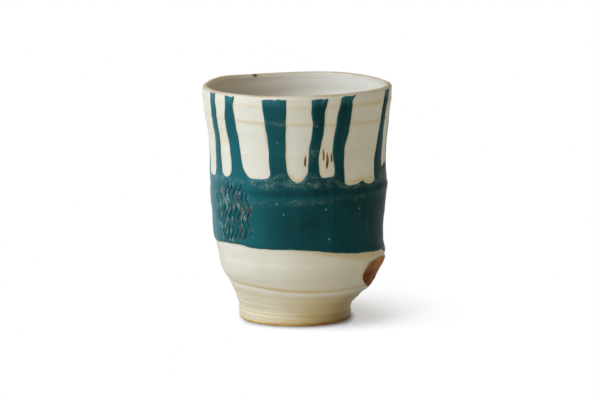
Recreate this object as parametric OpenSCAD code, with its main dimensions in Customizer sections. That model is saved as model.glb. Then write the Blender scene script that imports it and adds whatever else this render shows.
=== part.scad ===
// Hand-thrown stoneware cup without a handle, in layers: clay, glazes and marks.
// The wheel's axis is +Z, the front faces -Y and the foot rests on z = 0.
// Turns are measured about the axis from the front towards +X.

/* [Cup] */
// Height from the table to the top of the lip
cup_h = 100; // [92:1:112]
// Diameter across the lip, over the glaze
rim_d = 80; // [76:1:88]
// Thickness of the fired clay wall
wall_t = 2.6; // [2.2:0.1:3.6]
// Thickness of the clay floor above the foot
floor_t = 4; // [3:0.5:6]
// Height where the round bottom of the inside meets the wall
bowl_z = 30; // [26:1:40]
// Squareness of the round bottom: 2 is an ellipse
bowl_power = 2.6; // [2:0.1:3.6]

/* [Profile] */
// Diameter at the flare above the foot, over the glaze
flare_d = 60.2; // [56:0.2:64]
// Height of the flare
flare_z = 15; // [12:0.5:18]
// Diameter at the hip, over the glaze
hip_d = 70.2; // [67:0.2:73]
// Height of the hip
hip_z = 25; // [22:0.5:29]
// Diameter at the belly, over the glaze
belly_d = 72; // [70:0.5:75]
// Height of the belly
belly_z = 36; // [32:0.5:44]
// Diameter at the throwing ridge, over the glaze
ridge_d = 75; // [73:0.2:78]
// Height of the throwing ridge
ridge_z = 57.5; // [50:0.5:60]
// Diameter at the waist, over the glaze
waist_d = 74.4; // [72:0.2:77]
// Height of the waist
waist_z = 66.5; // [63:0.5:72]

/* [Foot] */
// Diameter of the foot, over the glaze
foot_d = 47.8; // [44:0.2:52]
// Height of the foot
foot_h = 7; // [5:0.5:9]
// Width of the ring of clay
foot_w = 5; // [3.5:0.5:8]
// Chamfer on both edges of the resting face
foot_chamfer = 0.6; // [0.3:0.1:1]
// Bare clay between the table and the glaze
glaze_stop = 1.2; // [1:0.1:2]

/* [Glaze] */
// Thickness of the cream coat outside
cream_t = 0.4; // [0.3:0.05:0.8]
// Thickness of the liner coat inside
liner_t = 0.4; // [0.3:0.05:0.8]
// Thickness of the teal coat over the cream
teal_t = 0.5; // [0.3:0.05:0.8]
// Thickness of the iron marks over the cream
iron_t = 0.2; // [0.1:0.05:0.4]
// Width of an iron mark
iron_w = 1.1; // [0.8:0.1:1.6]
// Length of a plain iron mark
iron_l = 4; // [3:0.5:5]
// Height of the iron marks above the band
iron_rise = 9; // [8:0.5:12]

/* [Band and runs] */
// Height of the teal band's top edge
band_top = 64; // [56:0.5:66]
// Height of the band's lower edge, halfway round
band_low = 32; // [31:0.2:40]
// Slant of the lower edge
band_slant = 6.2; // [0:0.2:8]
// Turn at which the lower edge dips most
band_dip_turn = 140; // [90:5:180]
// Width of a plain run
run_w = 6; // [4:0.5:7]
// Spread of a run on each side where it joins the band
run_spread = 2.4; // [1:0.2:3]
// Height over which a run spreads
run_spread_h = 7; // [4:0.5:10]

/* [Finger mark] */
// Turn of the bare patch where a finger held the cup
mark_turn = 74; // [65:1:95]
// Height of the patch's middle
mark_z = 21; // [20:0.5:22]
// Length of the patch
mark_l = 28; // [24:1:32]
// Width of the patch
mark_w = 13; // [11:0.5:14]
// Lean of the patch, down towards its far end
mark_lean = 8; // [0:1:15]
// Diameter of the fingertip
finger_d = 20; // [16:1:24]
// Depth that the finger pressed into the clay
mark_press = 1.2; // [0.6:0.1:1.6]

/* [Hidden] */
$fn = 96;

// Each run: turn, then as shares of run_w its width at the lip, its width above the band and its drift
// to the right on the way down
RUNS = [[-104, 1, 1.15, 0], [-60.5, 0.8, 1.1, -0.3], [-44, 0.95, 1.15, 0.1], [-13.5, 1.75, 1.2, 0.15],
        [13.5, 1.1, 0.75, -0.35], [31, 0.9, 0.8, -0.35], [69.5, 1.1, 1.2, -0.4], [102, 0.9, 1, -0.25],
        [121, 1.35, 1.15, 0.15], [143, 1, 0.9, -0.15], [166, 1.15, 1.05, 0.25], [190, 0.9, 1, -0.15],
        [213, 1.4, 1.15, 0.15], [238, 1, 1.1, -0.15]];
// Each iron mark: turn, height of its middle above the band as a share of iron_rise, share of iron_l
IRON = [[4, 0.6, 0.75], [16.8, 1.35, 1], [19.4, 1.05, 1.75], [22, 0.8, 0.85], [154, 0.95, 1.5], [177, 1.4, 1],
        [202, 0.85, 0.75]];

// Cones in each span of the profile and in the round bottom
span_steps = 4;
bowl_steps = 12;
// Straight stretches where a run spreads, and round the bead of an iron mark
spread_steps = 4;
bead_steps = 6;

// The lip is a half round over the clay and both of its coats
lip_r = (cream_t + wall_t + liner_t) / 2;
lip_z = cup_h - lip_r;
wall_out = cream_t + wall_t;
foot_r = foot_d / 2 - cream_t;
floor_z = foot_h + floor_t;
// Anything that cuts the cup reaches past it
reach = rim_d;

// Stations of the glazed outside, as height and radius, joined by a smooth curve
STATIONS = [[foot_h, foot_d / 2], [flare_z, flare_d / 2], [hip_z, hip_d / 2], [belly_z, belly_d / 2],
            [ridge_z, ridge_d / 2], [waist_z, waist_d / 2], [lip_z, rim_d / 2]];
last_station = len(STATIONS) - 1;

function slope_at(i) =
    let (a = STATIONS[max(i - 1, 0)], b = STATIONS[min(i + 1, last_station)])
    (b[1] - a[1]) / (b[0] - a[0]);

function skin_point(i, t) =
    let (a = STATIONS[i], b = STATIONS[i + 1], rise = b[0] - a[0], u = 1 - t)
    [a[0] + t * rise,
     a[1] * u * u * (1 + 2 * t) + b[1] * t * t * (1 + 2 * u)
     + rise * t * u * (slope_at(i) * u - slope_at(i + 1) * t)];

SKIN = concat([[0, foot_d / 2]],
              [for (i = [0 : last_station - 1]) for (k = [0 : span_steps - 1]) skin_point(i, k / span_steps)],
              [STATIONS[last_station]]);

function skin(z) = lookup(z, SKIN);
function reversed(list) = [for (i = [len(list) - 1 : -1 : 0]) list[i]];

// Points on the outside between two heights, moved out by a distance
function side(low, high, out) =
    let (heights = concat([low], [for (p = SKIN) if (p[0] > low && p[0] < high) p[0]], [high]))
    [for (z = heights) [skin(z) + out, z]];

// Points of the inside from the lip down to the middle of the floor, behind a coat
function inside(coat_t) =
    let (wall = side(bowl_z, lip_z, -wall_out - coat_t), bowl_r = wall[0][0], low = floor_z + coat_t,
         power = 2 / bowl_power)
    concat(reversed(wall),
           [for (k = [bowl_steps - 1 : -1 : 0]) let (a = 90 * k / bowl_steps)
               [bowl_r * pow(sin(a), power), bowl_z - (bowl_z - low) * pow(cos(a), power)]]);

// Points of the hollow corner on one side of a run, from its straight edge to the band
function spread_corner(half) =
    [for (k = [0 : spread_steps]) let (a = 90 * k / spread_steps)
        [half + run_spread * (1 - cos(a)), band_top + run_spread_h * (1 - sin(a))]];

// A coat on the outside between two heights, from one distance off the skin to another
module coat(low, high, from, to) {
    rotate_extrude() polygon(concat(side(low, high, to), reversed(side(low, high, from))));
}

// The upper half of a circle at the lip's height
module half_round(x, r) {
    translate([x, lip_z]) intersection() {
        circle(r);
        translate([-r, 0]) square([2 * r, r]);
    }
}

// A flat shape, drawn as seen from outside, pushed through the wall at a turn
module through_wall(turn) {
    rotate([0, 0, turn]) translate([0, -foot_r, 0]) rotate([90, 0, 0]) linear_extrude(reach) children();
}

module slot(length, width) {
    square([length - width, width], center = true);
    for (end = [-1, 1]) translate([end * (length - width) / 2, 0]) circle(d = width);
}

// A streak of iron that ran down: narrow at its top, with a round bead at its foot
module streak(length) {
    bead = iron_w / 2;
    foot = bead - length / 2;
    polygon(concat([[bead / 2, length / 2], [-bead / 2, length / 2]],
                   [for (k = [0 : bead_steps]) let (a = 180 + 180 * k / bead_steps)
                       [bead * cos(a), foot + bead * sin(a)]]));
}

module run_outline(run) {
    top_half = run[1] * run_w / 2;
    drift = run[3] * run_w;
    corner = spread_corner(run[2] * run_w / 2);
    polygon(concat([[-top_half, lip_z], [top_half, lip_z]],
                   [for (p = corner) [drift + p[0], p[1]]],
                   reversed([for (p = corner) [drift - p[0], p[1]]])));
}

module mark_patch() {
    through_wall(mark_turn) translate([0, mark_z]) rotate(-mark_lean) slot(mark_l, mark_w);
}

// The fingertip lies along the patch and sinks into the clay square to its slope
module finger() {
    half_gap = 1;
    tilt = atan((skin(mark_z + half_gap) - skin(mark_z - half_gap)) / (2 * half_gap));
    off = finger_d / 2 - mark_press;
    rotate([0, 0, mark_turn])
        translate([0, -(skin(mark_z) - cream_t + off * cos(tilt)), mark_z - off * sin(tilt)])
            rotate([0, 90 + mark_lean, 0]) cylinder(h = mark_l, d = finger_d, center = true);
}

module below_band() {
    rotate([0, 0, band_dip_turn]) translate([0, 0, band_low]) rotate([band_slant, 0, 0])
        translate([-reach, -reach, -reach]) cube([2 * reach, 2 * reach, reach]);
}

module clay_body() {
    color([0.45, 0.27, 0.18]) difference() {
        rotate_extrude() {
            polygon(concat(side(foot_h, lip_z, -cream_t), inside(0), [[0, foot_h]]));
            half_round(rim_d / 2 - cream_t - wall_t / 2, wall_t / 2);
        }
        finger();
    }
}

module foot_ring() {
    inner_r = foot_r - foot_w;
    color([0.62, 0.42, 0.24]) rotate_extrude() polygon([
        [inner_r + foot_chamfer, 0], [foot_r - foot_chamfer, 0], [foot_r, foot_chamfer],
        [foot_r, foot_h], [inner_r, foot_h], [inner_r, foot_chamfer]]);
}

module liner_glaze() {
    color([0.76, 0.75, 0.71]) rotate_extrude() polygon(concat(inside(0), reversed(inside(liner_t))));
}

module cream_glaze() {
    color([0.86, 0.84, 0.77]) difference() {
        coat(glaze_stop, lip_z, -cream_t, 0);
        mark_patch();
    }
}

module lip_glaze() {
    color([0.74, 0.64, 0.46]) rotate_extrude() difference() {
        half_round(rim_d / 2 - lip_r, lip_r);
        half_round(rim_d / 2 - cream_t - wall_t / 2, wall_t / 2);
    }
}

module teal_band() {
    color([0.09, 0.29, 0.32]) difference() {
        coat(band_low - rim_d / 2 * tan(band_slant), band_top, 0, teal_t);
        below_band();
    }
}

module teal_runs() {
    color([0.09, 0.29, 0.32]) intersection() {
        coat(band_top, lip_z, 0, teal_t);
        union() for (run = RUNS) through_wall(run[0]) run_outline(run);
    }
}

module iron_marks() {
    color([0.27, 0.17, 0.1]) intersection() {
        coat(band_top, lip_z, 0, iron_t);
        union() for (mark = IRON)
            through_wall(mark[0]) translate([0, band_top + mark[1] * iron_rise]) streak(mark[2] * iron_l);
    }
}

clay_body();
foot_ring();
liner_glaze();
cream_glaze();
lip_glaze();
teal_band();
teal_runs();
iron_marks();
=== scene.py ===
import math

import bpy
import numpy as np
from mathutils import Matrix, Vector


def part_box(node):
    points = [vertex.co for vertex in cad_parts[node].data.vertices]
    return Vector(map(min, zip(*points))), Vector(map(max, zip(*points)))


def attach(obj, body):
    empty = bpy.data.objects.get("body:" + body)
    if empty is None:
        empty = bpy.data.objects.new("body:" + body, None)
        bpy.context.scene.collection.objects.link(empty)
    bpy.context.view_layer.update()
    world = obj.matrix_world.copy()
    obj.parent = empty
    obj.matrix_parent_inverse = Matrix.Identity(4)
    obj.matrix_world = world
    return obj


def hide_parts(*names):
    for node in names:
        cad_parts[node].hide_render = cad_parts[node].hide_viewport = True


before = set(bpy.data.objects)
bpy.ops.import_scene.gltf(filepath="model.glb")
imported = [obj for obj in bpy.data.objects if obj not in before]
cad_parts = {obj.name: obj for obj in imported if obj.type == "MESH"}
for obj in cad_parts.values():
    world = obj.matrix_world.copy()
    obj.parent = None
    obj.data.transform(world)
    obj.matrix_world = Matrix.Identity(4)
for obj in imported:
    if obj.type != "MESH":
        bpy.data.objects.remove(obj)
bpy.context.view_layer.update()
mm = 0.001
scene = bpy.context.scene
print("frame loaded:", ", ".join(sorted(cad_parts)))

# heights and radii that the solids already settle, in mm
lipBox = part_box("lip_glaze")
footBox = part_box("foot_ring")
lipHeight = lipBox[0].z / mm                # where the lip's half round starts
lipRound = lipBox[1].z / mm - lipHeight     # radius of that half round
footHeight = footBox[1].z / mm
footRadius = footBox[1].x / mm
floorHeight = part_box("liner_glaze")[0].z / mm
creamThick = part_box("cream_glaze")[1].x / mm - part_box("clay_body")[1].x / mm


# shapes that every piece shares

def smoothCurve(stations, at):
    # a smooth line through given stations
    x, y = np.array(stations, float).T
    slope = np.gradient(y, x)
    i = np.clip(np.searchsorted(x, at) - 1, 0, len(x) - 2)
    step = x[i + 1] - x[i]
    t = np.clip((at - x[i]) / step, 0, 1)
    u = 1 - t
    ends = y[i] * u * u * (1 + 2 * t) + y[i + 1] * t * t * (1 + 2 * u)
    return ends + step * t * u * (slope[i] * u - slope[i + 1] * t)


def ease(low, high, value):
    t = np.clip((value - low) / (high - low), 0, 1)
    return t * t * (3 - 2 * t)


def between(rising, falling, value):
    # grows over one range and fades over another
    return ease(*rising, value) * ease(*falling, value)


def bell(value, width):
    return np.exp(-(value / width) ** 2)


def meltMax(a, b, blend):
    # the larger of two fields, with a round corner where they cross
    return np.maximum(a, b) + np.maximum(blend - np.abs(a - b), 0) ** 2 / (4 * blend)


def ripple(turn, z, waves):
    # each wave: counts around the wheel, counts per mm of height, phase, amount
    total = 0
    for around, perMm, phase, amount in waves:
        total = total + amount * np.sin(around * turn + 2 * math.pi * perMm * z + phase)
    return total


def wrapped(turn):
    return (turn + math.pi) % (2 * math.pi) - math.pi


def edgeAt(stations, turn):
    # a line round the wheel, its stations in degrees
    return smoothCurve(stations, np.degrees(wrapped(turn)))


def acrossWall(turn, degrees):
    # mm along the wall to the right of a turn given in degrees
    return wrapped(turn - math.radians(degrees)) * thrownForm["wallRadius"]


# the thrown form: heights, radii and relief in mm, turns in degrees from the front towards the right
thrownForm = {
    "profile": [(0, 23.4), (2.5, 23.75), (5.8, 23.85), (7, 24.2), (8.4, 25.2), (11.2, 27.4), (14.7, 30.0),
                (18, 31.9), (21.6, 33.8), (25, 34.9), (29, 35.3), (33, 35.4), (38, 35.7), (45.7, 36.2),
                (52.6, 36.85), (57.5, 37.15), (62, 36.95), (66.4, 36.9), (73, 37.2), (80, 37.85),
                (87, 38.9), (94, 39.75), (98.3, 39.95)],
    "lean": [(0, -0.9), (7, -0.6), (11, 0.6), (14, 1.4), (17, 1.9), (22, 1.9), (26, 2.0), (29, 1.7),
             (33, 0.8), (38, 0.5), (50, 0.5), (57, 0.7), (63, 0.45), (70, 0.3), (80, 0.25), (88, 0.05),
             (94, 0.05), (100, 0.15)],
    "lipLift": [(-180, -0.42), (-165, -0.75), (-150, -0.75), (-139, -0.4), (-127, 0), (-115, -0.15),
                (-100, -0.45), (-80, -0.65), (-45, -0.5), (-15, -0.25), (0, 0), (20, 0.15), (45, 0.3),
                (75, 0.25), (95, -0.1), (110, -0.35), (120, -0.3), (130, -0.1), (140, 0.08), (150, 0.15),
                (165, -0.14), (180, -0.42)],
    "lipLiftFrom": (45, 100), "wallRadius": 37,
    "outOfRound": [(2, 0.003, 0.9, 0.10), (3, 0.006, 2.0, 0.06)], "outOfRoundFrom": (8, 30),
    "throwing": [(1, 0.31, 0.0, 0.015), (1, 0.19, 1.7, 0.025), (1, 0.085, 0.8, 0.05)],
    "throwingFrom": (18, 30),
    # height, fall to the right, relief, width and how far the glaze breaks to tan
    "rings": {
        "collar": (88.1, 1.7, 0.14, 0.75, 0.72), "neck": (95.3, 0.9, 0.07, 0.9, 0.60),
        "shoulder": (74.2, -0.8, 0.04, 0.9, 0.15), "bandDip": (58.8, -0.6, -0.14, 1.1, 0.0),
        "bandRidge": (56.4, -1.5, 0.11, 1.0, 0.0), "flare": (12.0, 0.0, -0.04, 0.9, 0.50),
        "footTop": (8.2, 0.0, 0.04, 0.9, 0.45), "footTan": (4.25, 0.7, -0.02, 0.55, 0.85),
        "footPale": (3.3, 0.4, 0.015, 0.4, 0.0), "footLow": (2.2, 0.2, -0.02, 0.5, 0.85),
    },
    "ledge": [(-180, 16.6), (-140, 17.1), (-90, 18.1), (-60, 17.9), (-37, 17.6), (-28, 17.2), (-16, 16.7),
              (0, 16.3), (14, 16.1), (28, 16.0), (42, 16.1), (60, 16.3), (90, 16.5), (180, 16.6)],
    "ledgeStep": 0.42, "ledgeSoft": 0.35, "ledgeFrom": (8, 12),
    "footGrooves": [(1, 0.62, 0.4, 0.07), (1, 0.27, 2.2, 0.09)], "groovesBelow": 12,
}

fingerMark = {
    "turn": 76.5, "height": 20.7, "length": 30, "width": 14.2, "slant": 0.85, "power": 2.1,
    "wallHeights": (10, 18, 25), "wallRadii": (27, 32, 35),
    "edge": [(9, 0.05, 0.3, 0.12), (17, 0.09, 1.1, 0.08)],
    "press": 0.1, "rim": 0.45, "rimWidth": 2.3, "rimIn": 1.0, "rimBelow": 0.5, "rimBehind": 0.5,
    "below": (20, 16), "behind": (0.1, 0.4),      # where the rim grows: heights, and turns in radians
}


def markField(turn, z):
    # mm inside the bare patch, negative outside it
    mark = fingerMark
    around = np.interp(z, mark["wallHeights"], mark["wallRadii"])
    across = wrapped(turn - math.radians(mark["turn"])) * around
    up = z - mark["height"]
    a = (across + mark["slant"] * up) / (mark["length"] / 2)
    b = up / (mark["width"] / 2)
    power = mark["power"]
    oval = (1 - (np.abs(a) ** power + np.abs(b) ** power) ** (1 / power)) * mark["width"] / 2
    return oval + ripple(turn, z, mark["edge"])


def markRelief(turn, z):
    # the finger sinks in and pushes a soft rim up around itself
    mark = fingerMark
    inside = markField(turn, z)
    sink = mark["press"] * ease(0, mark["width"] / 2, inside)
    past = wrapped(turn - math.radians(mark["turn"]))
    rim = mark["rim"] + mark["rimBehind"] * ease(*mark["behind"], past)
    rim = rim + mark["rimBelow"] * ease(*mark["below"], z)
    return rim * bell(inside - mark["rimIn"], mark["rimWidth"]) - sink


def ringHeight(name, turn):
    height, fall = thrownForm["rings"][name][:2]
    return height - fall * np.sin(turn)


def skinRadius(turn, z):
    # the glazed outside under the teal
    form = thrownForm
    r = smoothCurve(form["profile"], z)
    r = r + ripple(turn, z, form["outOfRound"]) * ease(*form["outOfRoundFrom"], z)
    r = r + ripple(turn, z, form["throwing"]) * ease(*form["throwingFrom"], z)
    for name, (_, _, relief, width, _) in form["rings"].items():
        r = r + relief * bell(z - ringHeight(name, turn), width)
    ledge = edgeAt(form["ledge"], turn)
    soft = form["ledgeSoft"]
    r = r - form["ledgeStep"] * ease(soft, -soft, z - ledge) * ease(*form["ledgeFrom"], z)
    r = r + ripple(turn, z, form["footGrooves"]) * ease(ledge, form["groovesBelow"], z)
    return r + markRelief(turn, z)


def place(turn, z, r):
    # from the wheel's own measures to the frame, in metres
    lift = edgeAt(thrownForm["lipLift"], turn) * ease(*thrownForm["lipLiftFrom"], z)
    lean = smoothCurve(thrownForm["lean"], z)
    return np.stack([r * np.sin(turn) + lean, -r * np.cos(turn), z + lift], axis=-1) * mm


# mesh makers

meshing = {"turnSamples": 20001, "edgeSlack": 0.03, "onAxis": 1e-6, "sharpTurn": 60, "edgeRound": 0.98}


def gradedRows(stretches, top):
    # heights up to the top, each stretch with its start and its own step
    rows = []
    for (start, step), (end, _) in zip(stretches, stretches[1:] + [(top, 0)]):
        rows.append(np.linspace(start, end, max(round((end - start) / step), 1), endpoint=False))
    return np.concatenate(rows + [[top]])


def wheelColumns(count, centre, width, dense):
    # turns round the wheel, closer together over one stretch
    fine = np.linspace(-math.pi, math.pi, meshing["turnSamples"])
    density = 1 + dense * (np.abs(wrapped(fine - centre)) < width)
    total = np.concatenate([[0], np.cumsum((density[1:] + density[:-1]) / 2)])
    return np.interp(np.linspace(0, total[-1], count, endpoint=False), total, fine)


def makePiece(name, points, faces, values, material):
    mesh = bpy.data.meshes.new(name)
    mesh.from_pydata(points.tolist(), [], faces)
    for key, numbers in values.items():
        numbers = np.asarray(numbers, np.float32)
        mesh.attributes.new(key, "FLOAT", "POINT").data.foreach_set("value", numbers)
    mesh.shade_smooth()
    mesh.set_sharp_from_angle(angle=math.radians(meshing["sharpTurn"]))
    mesh.materials.append(material)
    piece = bpy.data.objects.new(name, mesh)
    scene.collection.objects.link(piece)
    return piece


def coverMesh(turns, heights, field, around):
    # the part of a grid of turns and heights where field is above 0, cut along its edge
    rows, columns = field.shape
    spans = columns if around else columns - 1
    slack = meshing["edgeSlack"]
    field = np.where(np.abs(field) < slack, np.where(field < 0, -slack, slack), field)
    corners, found, faces = [], {}, []

    def corner(i, j):
        key = (i, j)
        if key not in found:
            found[key] = len(corners)
            corners.append((turns[j], heights[i]))
        return found[key]

    def crossing(i, j, m, n):
        key = ((i, j), (m, n)) if (i, j) < (m, n) else ((m, n), (i, j))
        if key not in found:
            (i, j), (m, n) = key
            share = field[i, j] / (field[i, j] - field[m, n])
            sweep = wrapped(turns[n] - turns[j])
            found[key] = len(corners)
            corners.append((turns[j] + share * sweep, heights[i] + share * (heights[m] - heights[i])))
        return found[key]

    kept = field > 0
    for i in range(rows - 1):
        for j in range(spans):
            k = (j + 1) % columns
            loop = [(i, j), (i, k), (i + 1, k), (i + 1, j)]
            keep = [kept[p] for p in loop]
            if all(keep):
                faces.append([corner(*p) for p in loop])
            elif any(keep):
                face = []
                for here, there, a, b in zip(loop, loop[1:] + loop[:1], keep, keep[1:] + keep[:1]):
                    if a:
                        face.append(corner(*here))
                    if a != b:
                        face.append(crossing(*here, *there))
                faces.append(face)
    turn, z = np.array(corners).T
    return turn, z, faces


def roundedEdge(inside, width):
    # 1 well inside a coat, falling in a quarter round to its edge
    rise = 1 - np.clip(inside / width, 0, 1)
    return np.sqrt(1 - meshing["edgeRound"] * rise ** 2)


def closeCoat(faces, top, bottom):
    # a closed coat: the cut grid at two depths, joined along its edges
    count = len(top)
    once = {}
    for face in faces:
        for a, b in zip(face, face[1:] + face[:1]):
            if (b, a) in once:
                del once[(b, a)]
            else:
                once[(a, b)] = True
    closed = [list(f) for f in faces] + [[v + count for v in reversed(f)] for f in faces]
    closed += [[b, a, a + count, b + count] for a, b in once]
    return np.concatenate([top, bottom]), closed


def bothFaces(values):
    # painted shares for the top and the bottom of a closed coat
    return {key: np.tile(np.clip(shares, 0, 1), 2) for key, shares in values.items()}


def spunMesh(columns, outline):
    # a closed outline spun round the wheel: outline(turn) gives arrays of radius and height
    turns = np.linspace(-math.pi, math.pi, columns, endpoint=False)
    radii, heights = zip(*(outline(t) for t in turns))
    radii, heights = np.array(radii), np.array(heights)
    turn = turns[:, None] + 0 * radii
    points = place(turn, heights, radii)
    size = radii.shape[1]
    index = np.arange(columns * size).reshape(columns, size)
    for k in np.where(radii.max(axis=0) < meshing["onAxis"])[0]:
        index[:, k] = index[0, k]
    faces = []
    for j in range(columns):
        n = (j + 1) % columns
        for k in range(size):
            m = (k + 1) % size
            face = [index[j, k], index[n, k], index[n, m], index[j, m]]
            face = [int(v) for i, v in enumerate(face) if v != face[i - 1]]
            if len(face) > 2:
                faces.append(face)
    used = sorted({v for f in faces for v in f})
    fresh = {v: i for i, v in enumerate(used)}
    faces = [[fresh[v] for v in f] for f in faces]
    turn, z, r = (grid.reshape(-1)[used] for grid in (turn, heights, radii))
    return points.reshape(-1, 3)[used], faces, turn, z, r


# materials

speckle = {"noiseRoughness": 0.55, "dotCore": 0.55, "dotCut": (1.0, 1.02)}


def addNode(tree, kind, settings=None, inputs=None):
    node = tree.nodes.new(kind)
    for key, value in (settings or {}).items():
        setattr(node, key, value)
    for key, value in (inputs or {}).items():
        if isinstance(value, bpy.types.NodeSocket):
            tree.links.new(value, node.inputs[key])
        else:
            node.inputs[key].default_value = value
    return node


def objectPoint(tree, scale):
    point = addNode(tree, "ShaderNodeTexCoord").outputs["Object"]
    return addNode(tree, "ShaderNodeMapping", None, {"Vector": point, "Scale": scale}).outputs["Vector"]


def noise(tree, scale, detail):
    inputs = {"Vector": objectPoint(tree, scale), "Scale": 1.0, "Detail": detail,
              "Roughness": speckle["noiseRoughness"]}
    return addNode(tree, "ShaderNodeTexNoise", None, inputs).outputs["Fac"]


def remap(tree, value, low, high, to=(0.0, 1.0)):
    inputs = {"Value": value, "From Min": low, "From Max": high, "To Min": to[0], "To Max": to[1]}
    node = addNode(tree, "ShaderNodeMapRange", {"interpolation_type": "SMOOTHSTEP"}, inputs)
    return node.outputs["Result"]


def mathNode(tree, operation, *values, clamp=False):
    settings = {"operation": operation, "use_clamp": clamp}
    return addNode(tree, "ShaderNodeMath", settings, dict(enumerate(values))).outputs[0]


def vectorNode(tree, operation, *values):
    inputs = dict(enumerate(values))
    return addNode(tree, "ShaderNodeVectorMath", {"operation": operation}, inputs).outputs


def times(tree, a, b):
    return mathNode(tree, "MULTIPLY", a, b)


def plus(tree, a, b, clamp=True):
    return mathNode(tree, "ADD", a, b, clamp=clamp)


def tint(tree, share, a, b):
    # the colours of this node are its inputs 6 and 7 and its output 2
    node = addNode(tree, "ShaderNodeMix", {"data_type": "RGBA"})
    for socket, value in ((node.inputs["Factor"], share), (node.inputs[6], a), (node.inputs[7], b)):
        if isinstance(value, bpy.types.NodeSocket):
            tree.links.new(value, socket)
        else:
            socket.default_value = (*value, 1.0) if isinstance(value, tuple) else value
    return node.outputs[2]


def painted(tree, key):
    return addNode(tree, "ShaderNodeAttribute", {"attribute_name": key}).outputs["Fac"]


def dots(tree, scale, size, share):
    # round specks with a soft edge: size in cells, share of the cells that hold one
    point = objectPoint(tree, scale)
    cells = addNode(tree, "ShaderNodeTexVoronoi", None, {"Vector": point, "Scale": 1.0}).outputs
    chosen = addNode(tree, "ShaderNodeSeparateColor", None, {"Color": cells["Color"]}).outputs[0]
    chosen = remap(tree, plus(tree, chosen, share, False), *speckle["dotCut"])
    return times(tree, remap(tree, cells["Distance"], size, size * speckle["dotCore"]), chosen)


def paleSpots(tree, spots):
    # each spot: turn, height and width, full in its inner third
    point = addNode(tree, "ShaderNodeTexCoord").outputs["Object"]
    total = 0.0
    for degrees, height, width in spots:
        turn, z = math.radians(degrees), np.array(float(height))
        middle = place(turn, z, skinRadius(turn, z) + tealCoat["thick"])
        away = vectorNode(tree, "DISTANCE", point, tuple(middle))["Value"]
        total = plus(tree, remap(tree, away, width * mm / 2, width * mm / 6), total)
    return total


def layerShare(tree, layer):
    # all that a layer names is multiplied, and then what it adds comes on top
    # a grain is scale, detail, where it starts and is full, and its least and most if not 0 and 1
    # dots are scale, size and density
    factors = [painted(tree, layer["painted"])] if "painted" in layer else []
    for scale, detail, low, high, *to in layer.get("grains", []):
        factors.append(remap(tree, noise(tree, scale, detail), low, high, *to))
    if "dots" in layer:
        scale, size, density = layer["dots"]
        density = layerShare(tree, density) if isinstance(density, dict) else density
        factors.append(dots(tree, scale, size, density))
    if "spots" in layer:
        factors.append(paleSpots(tree, layer["spots"]))
    if "share" in layer:
        factors.append(layer["share"])
    share = factors[0]
    for factor in factors[1:]:
        share = times(tree, share, factor)
    return plus(tree, share, painted(tree, layer["added"])) if "added" in layer else share


def fired(name, look):
    # a surface of layers, each tinting what lies under it with the colour that it names
    # a bump is scale, detail, strength and distance
    material = bpy.data.materials.new(name)
    material.use_nodes = True
    tree = material.node_tree
    shader = tree.nodes["Principled BSDF"]
    shader.inputs["Roughness"].default_value = look["roughness"]
    shader.inputs["Specular IOR Level"].default_value = look["specular"]
    colour = look["base"]
    for key, layer in look["layers"]:
        colour = tint(tree, layerShare(tree, layer), colour, look[key])
    tree.links.new(colour, shader.inputs["Base Color"])
    scale, detail, strength, distance = look["bump"]
    grit = {"Height": noise(tree, scale, detail), "Strength": strength, "Distance": distance}
    bump = addNode(tree, "ShaderNodeBump", None, grit)
    tree.links.new(bump.outputs["Normal"], shader.inputs["Normal"])
    return material


frostClumps = ((260, 260, 360), 3, 0.38, 0.62, (0.2, 1.0))
tealLook = {
    "base": (0.0022, 0.0245, 0.0275), "mid": (0.0095, 0.107, 0.130), "thin": (0.060, 0.225, 0.25),
    "frost": (0.34, 0.49, 0.43), "rust": (0.16, 0.07, 0.03),
    "layers": [
        # painted light: the light value tints the teal towards mid
        ("mid", {"grains": [((70, 70, 50), 4, 0.35, 0.68)], "share": 0.25, "added": "light"}),
        ("mid", {"grains": [((520, 520, 14), 2, 0.4, 0.75)], "share": 0.15}),        # streaks
        # the thin value also holds a painted sheen along the far left
        ("thin", {"painted": "thin", "grains": [((1100, 1100, 40), 2, 0.4, 0.65, (0.25, 0.7))]}),
        ("frost", {"painted": "frost", "share": 0.35,
                   "grains": [((3000, 3000, 3000), 2, 0.42, 0.68), frostClumps]}),
        ("frost", {"share": 0.55,                                                   # crystals
                   "dots": ((2700, 2700, 2700), 0.44,
                            {"painted": "frost", "grains": [frostClumps], "share": 0.8})}),
        ("frost", {"share": 0.42,
                   "spots": [(-13.9, 54.4, 1.2), (-9.3, 50.1, 1.0), (17.9, 52.0, 1.2), (20.9, 39.3, 1.3),
                             (43.3, 51.0, 1.0), (-12.5, 80.4, 0.9), (-118, 46, 1.2), (-151, 52.5, 1.0),
                             (112, 41.5, 1.2), (158, 49, 1.1), (-98, 55, 0.9)]}),
        ("base", {"painted": "groove", "share": 0.8}),
        ("frost", {"painted": "burr", "grains": [((420, 420, 300), 3, 0.50, 0.66)]}),
        ("rust", {"painted": "groove", "grains": [((330, 330, 240), 3, 0.50, 0.60)]}),
    ],
    "bump": ((600, 600, 400), 3, 0.10, 0.0004), "roughness": 0.32, "specular": 0.05,
}

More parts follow.
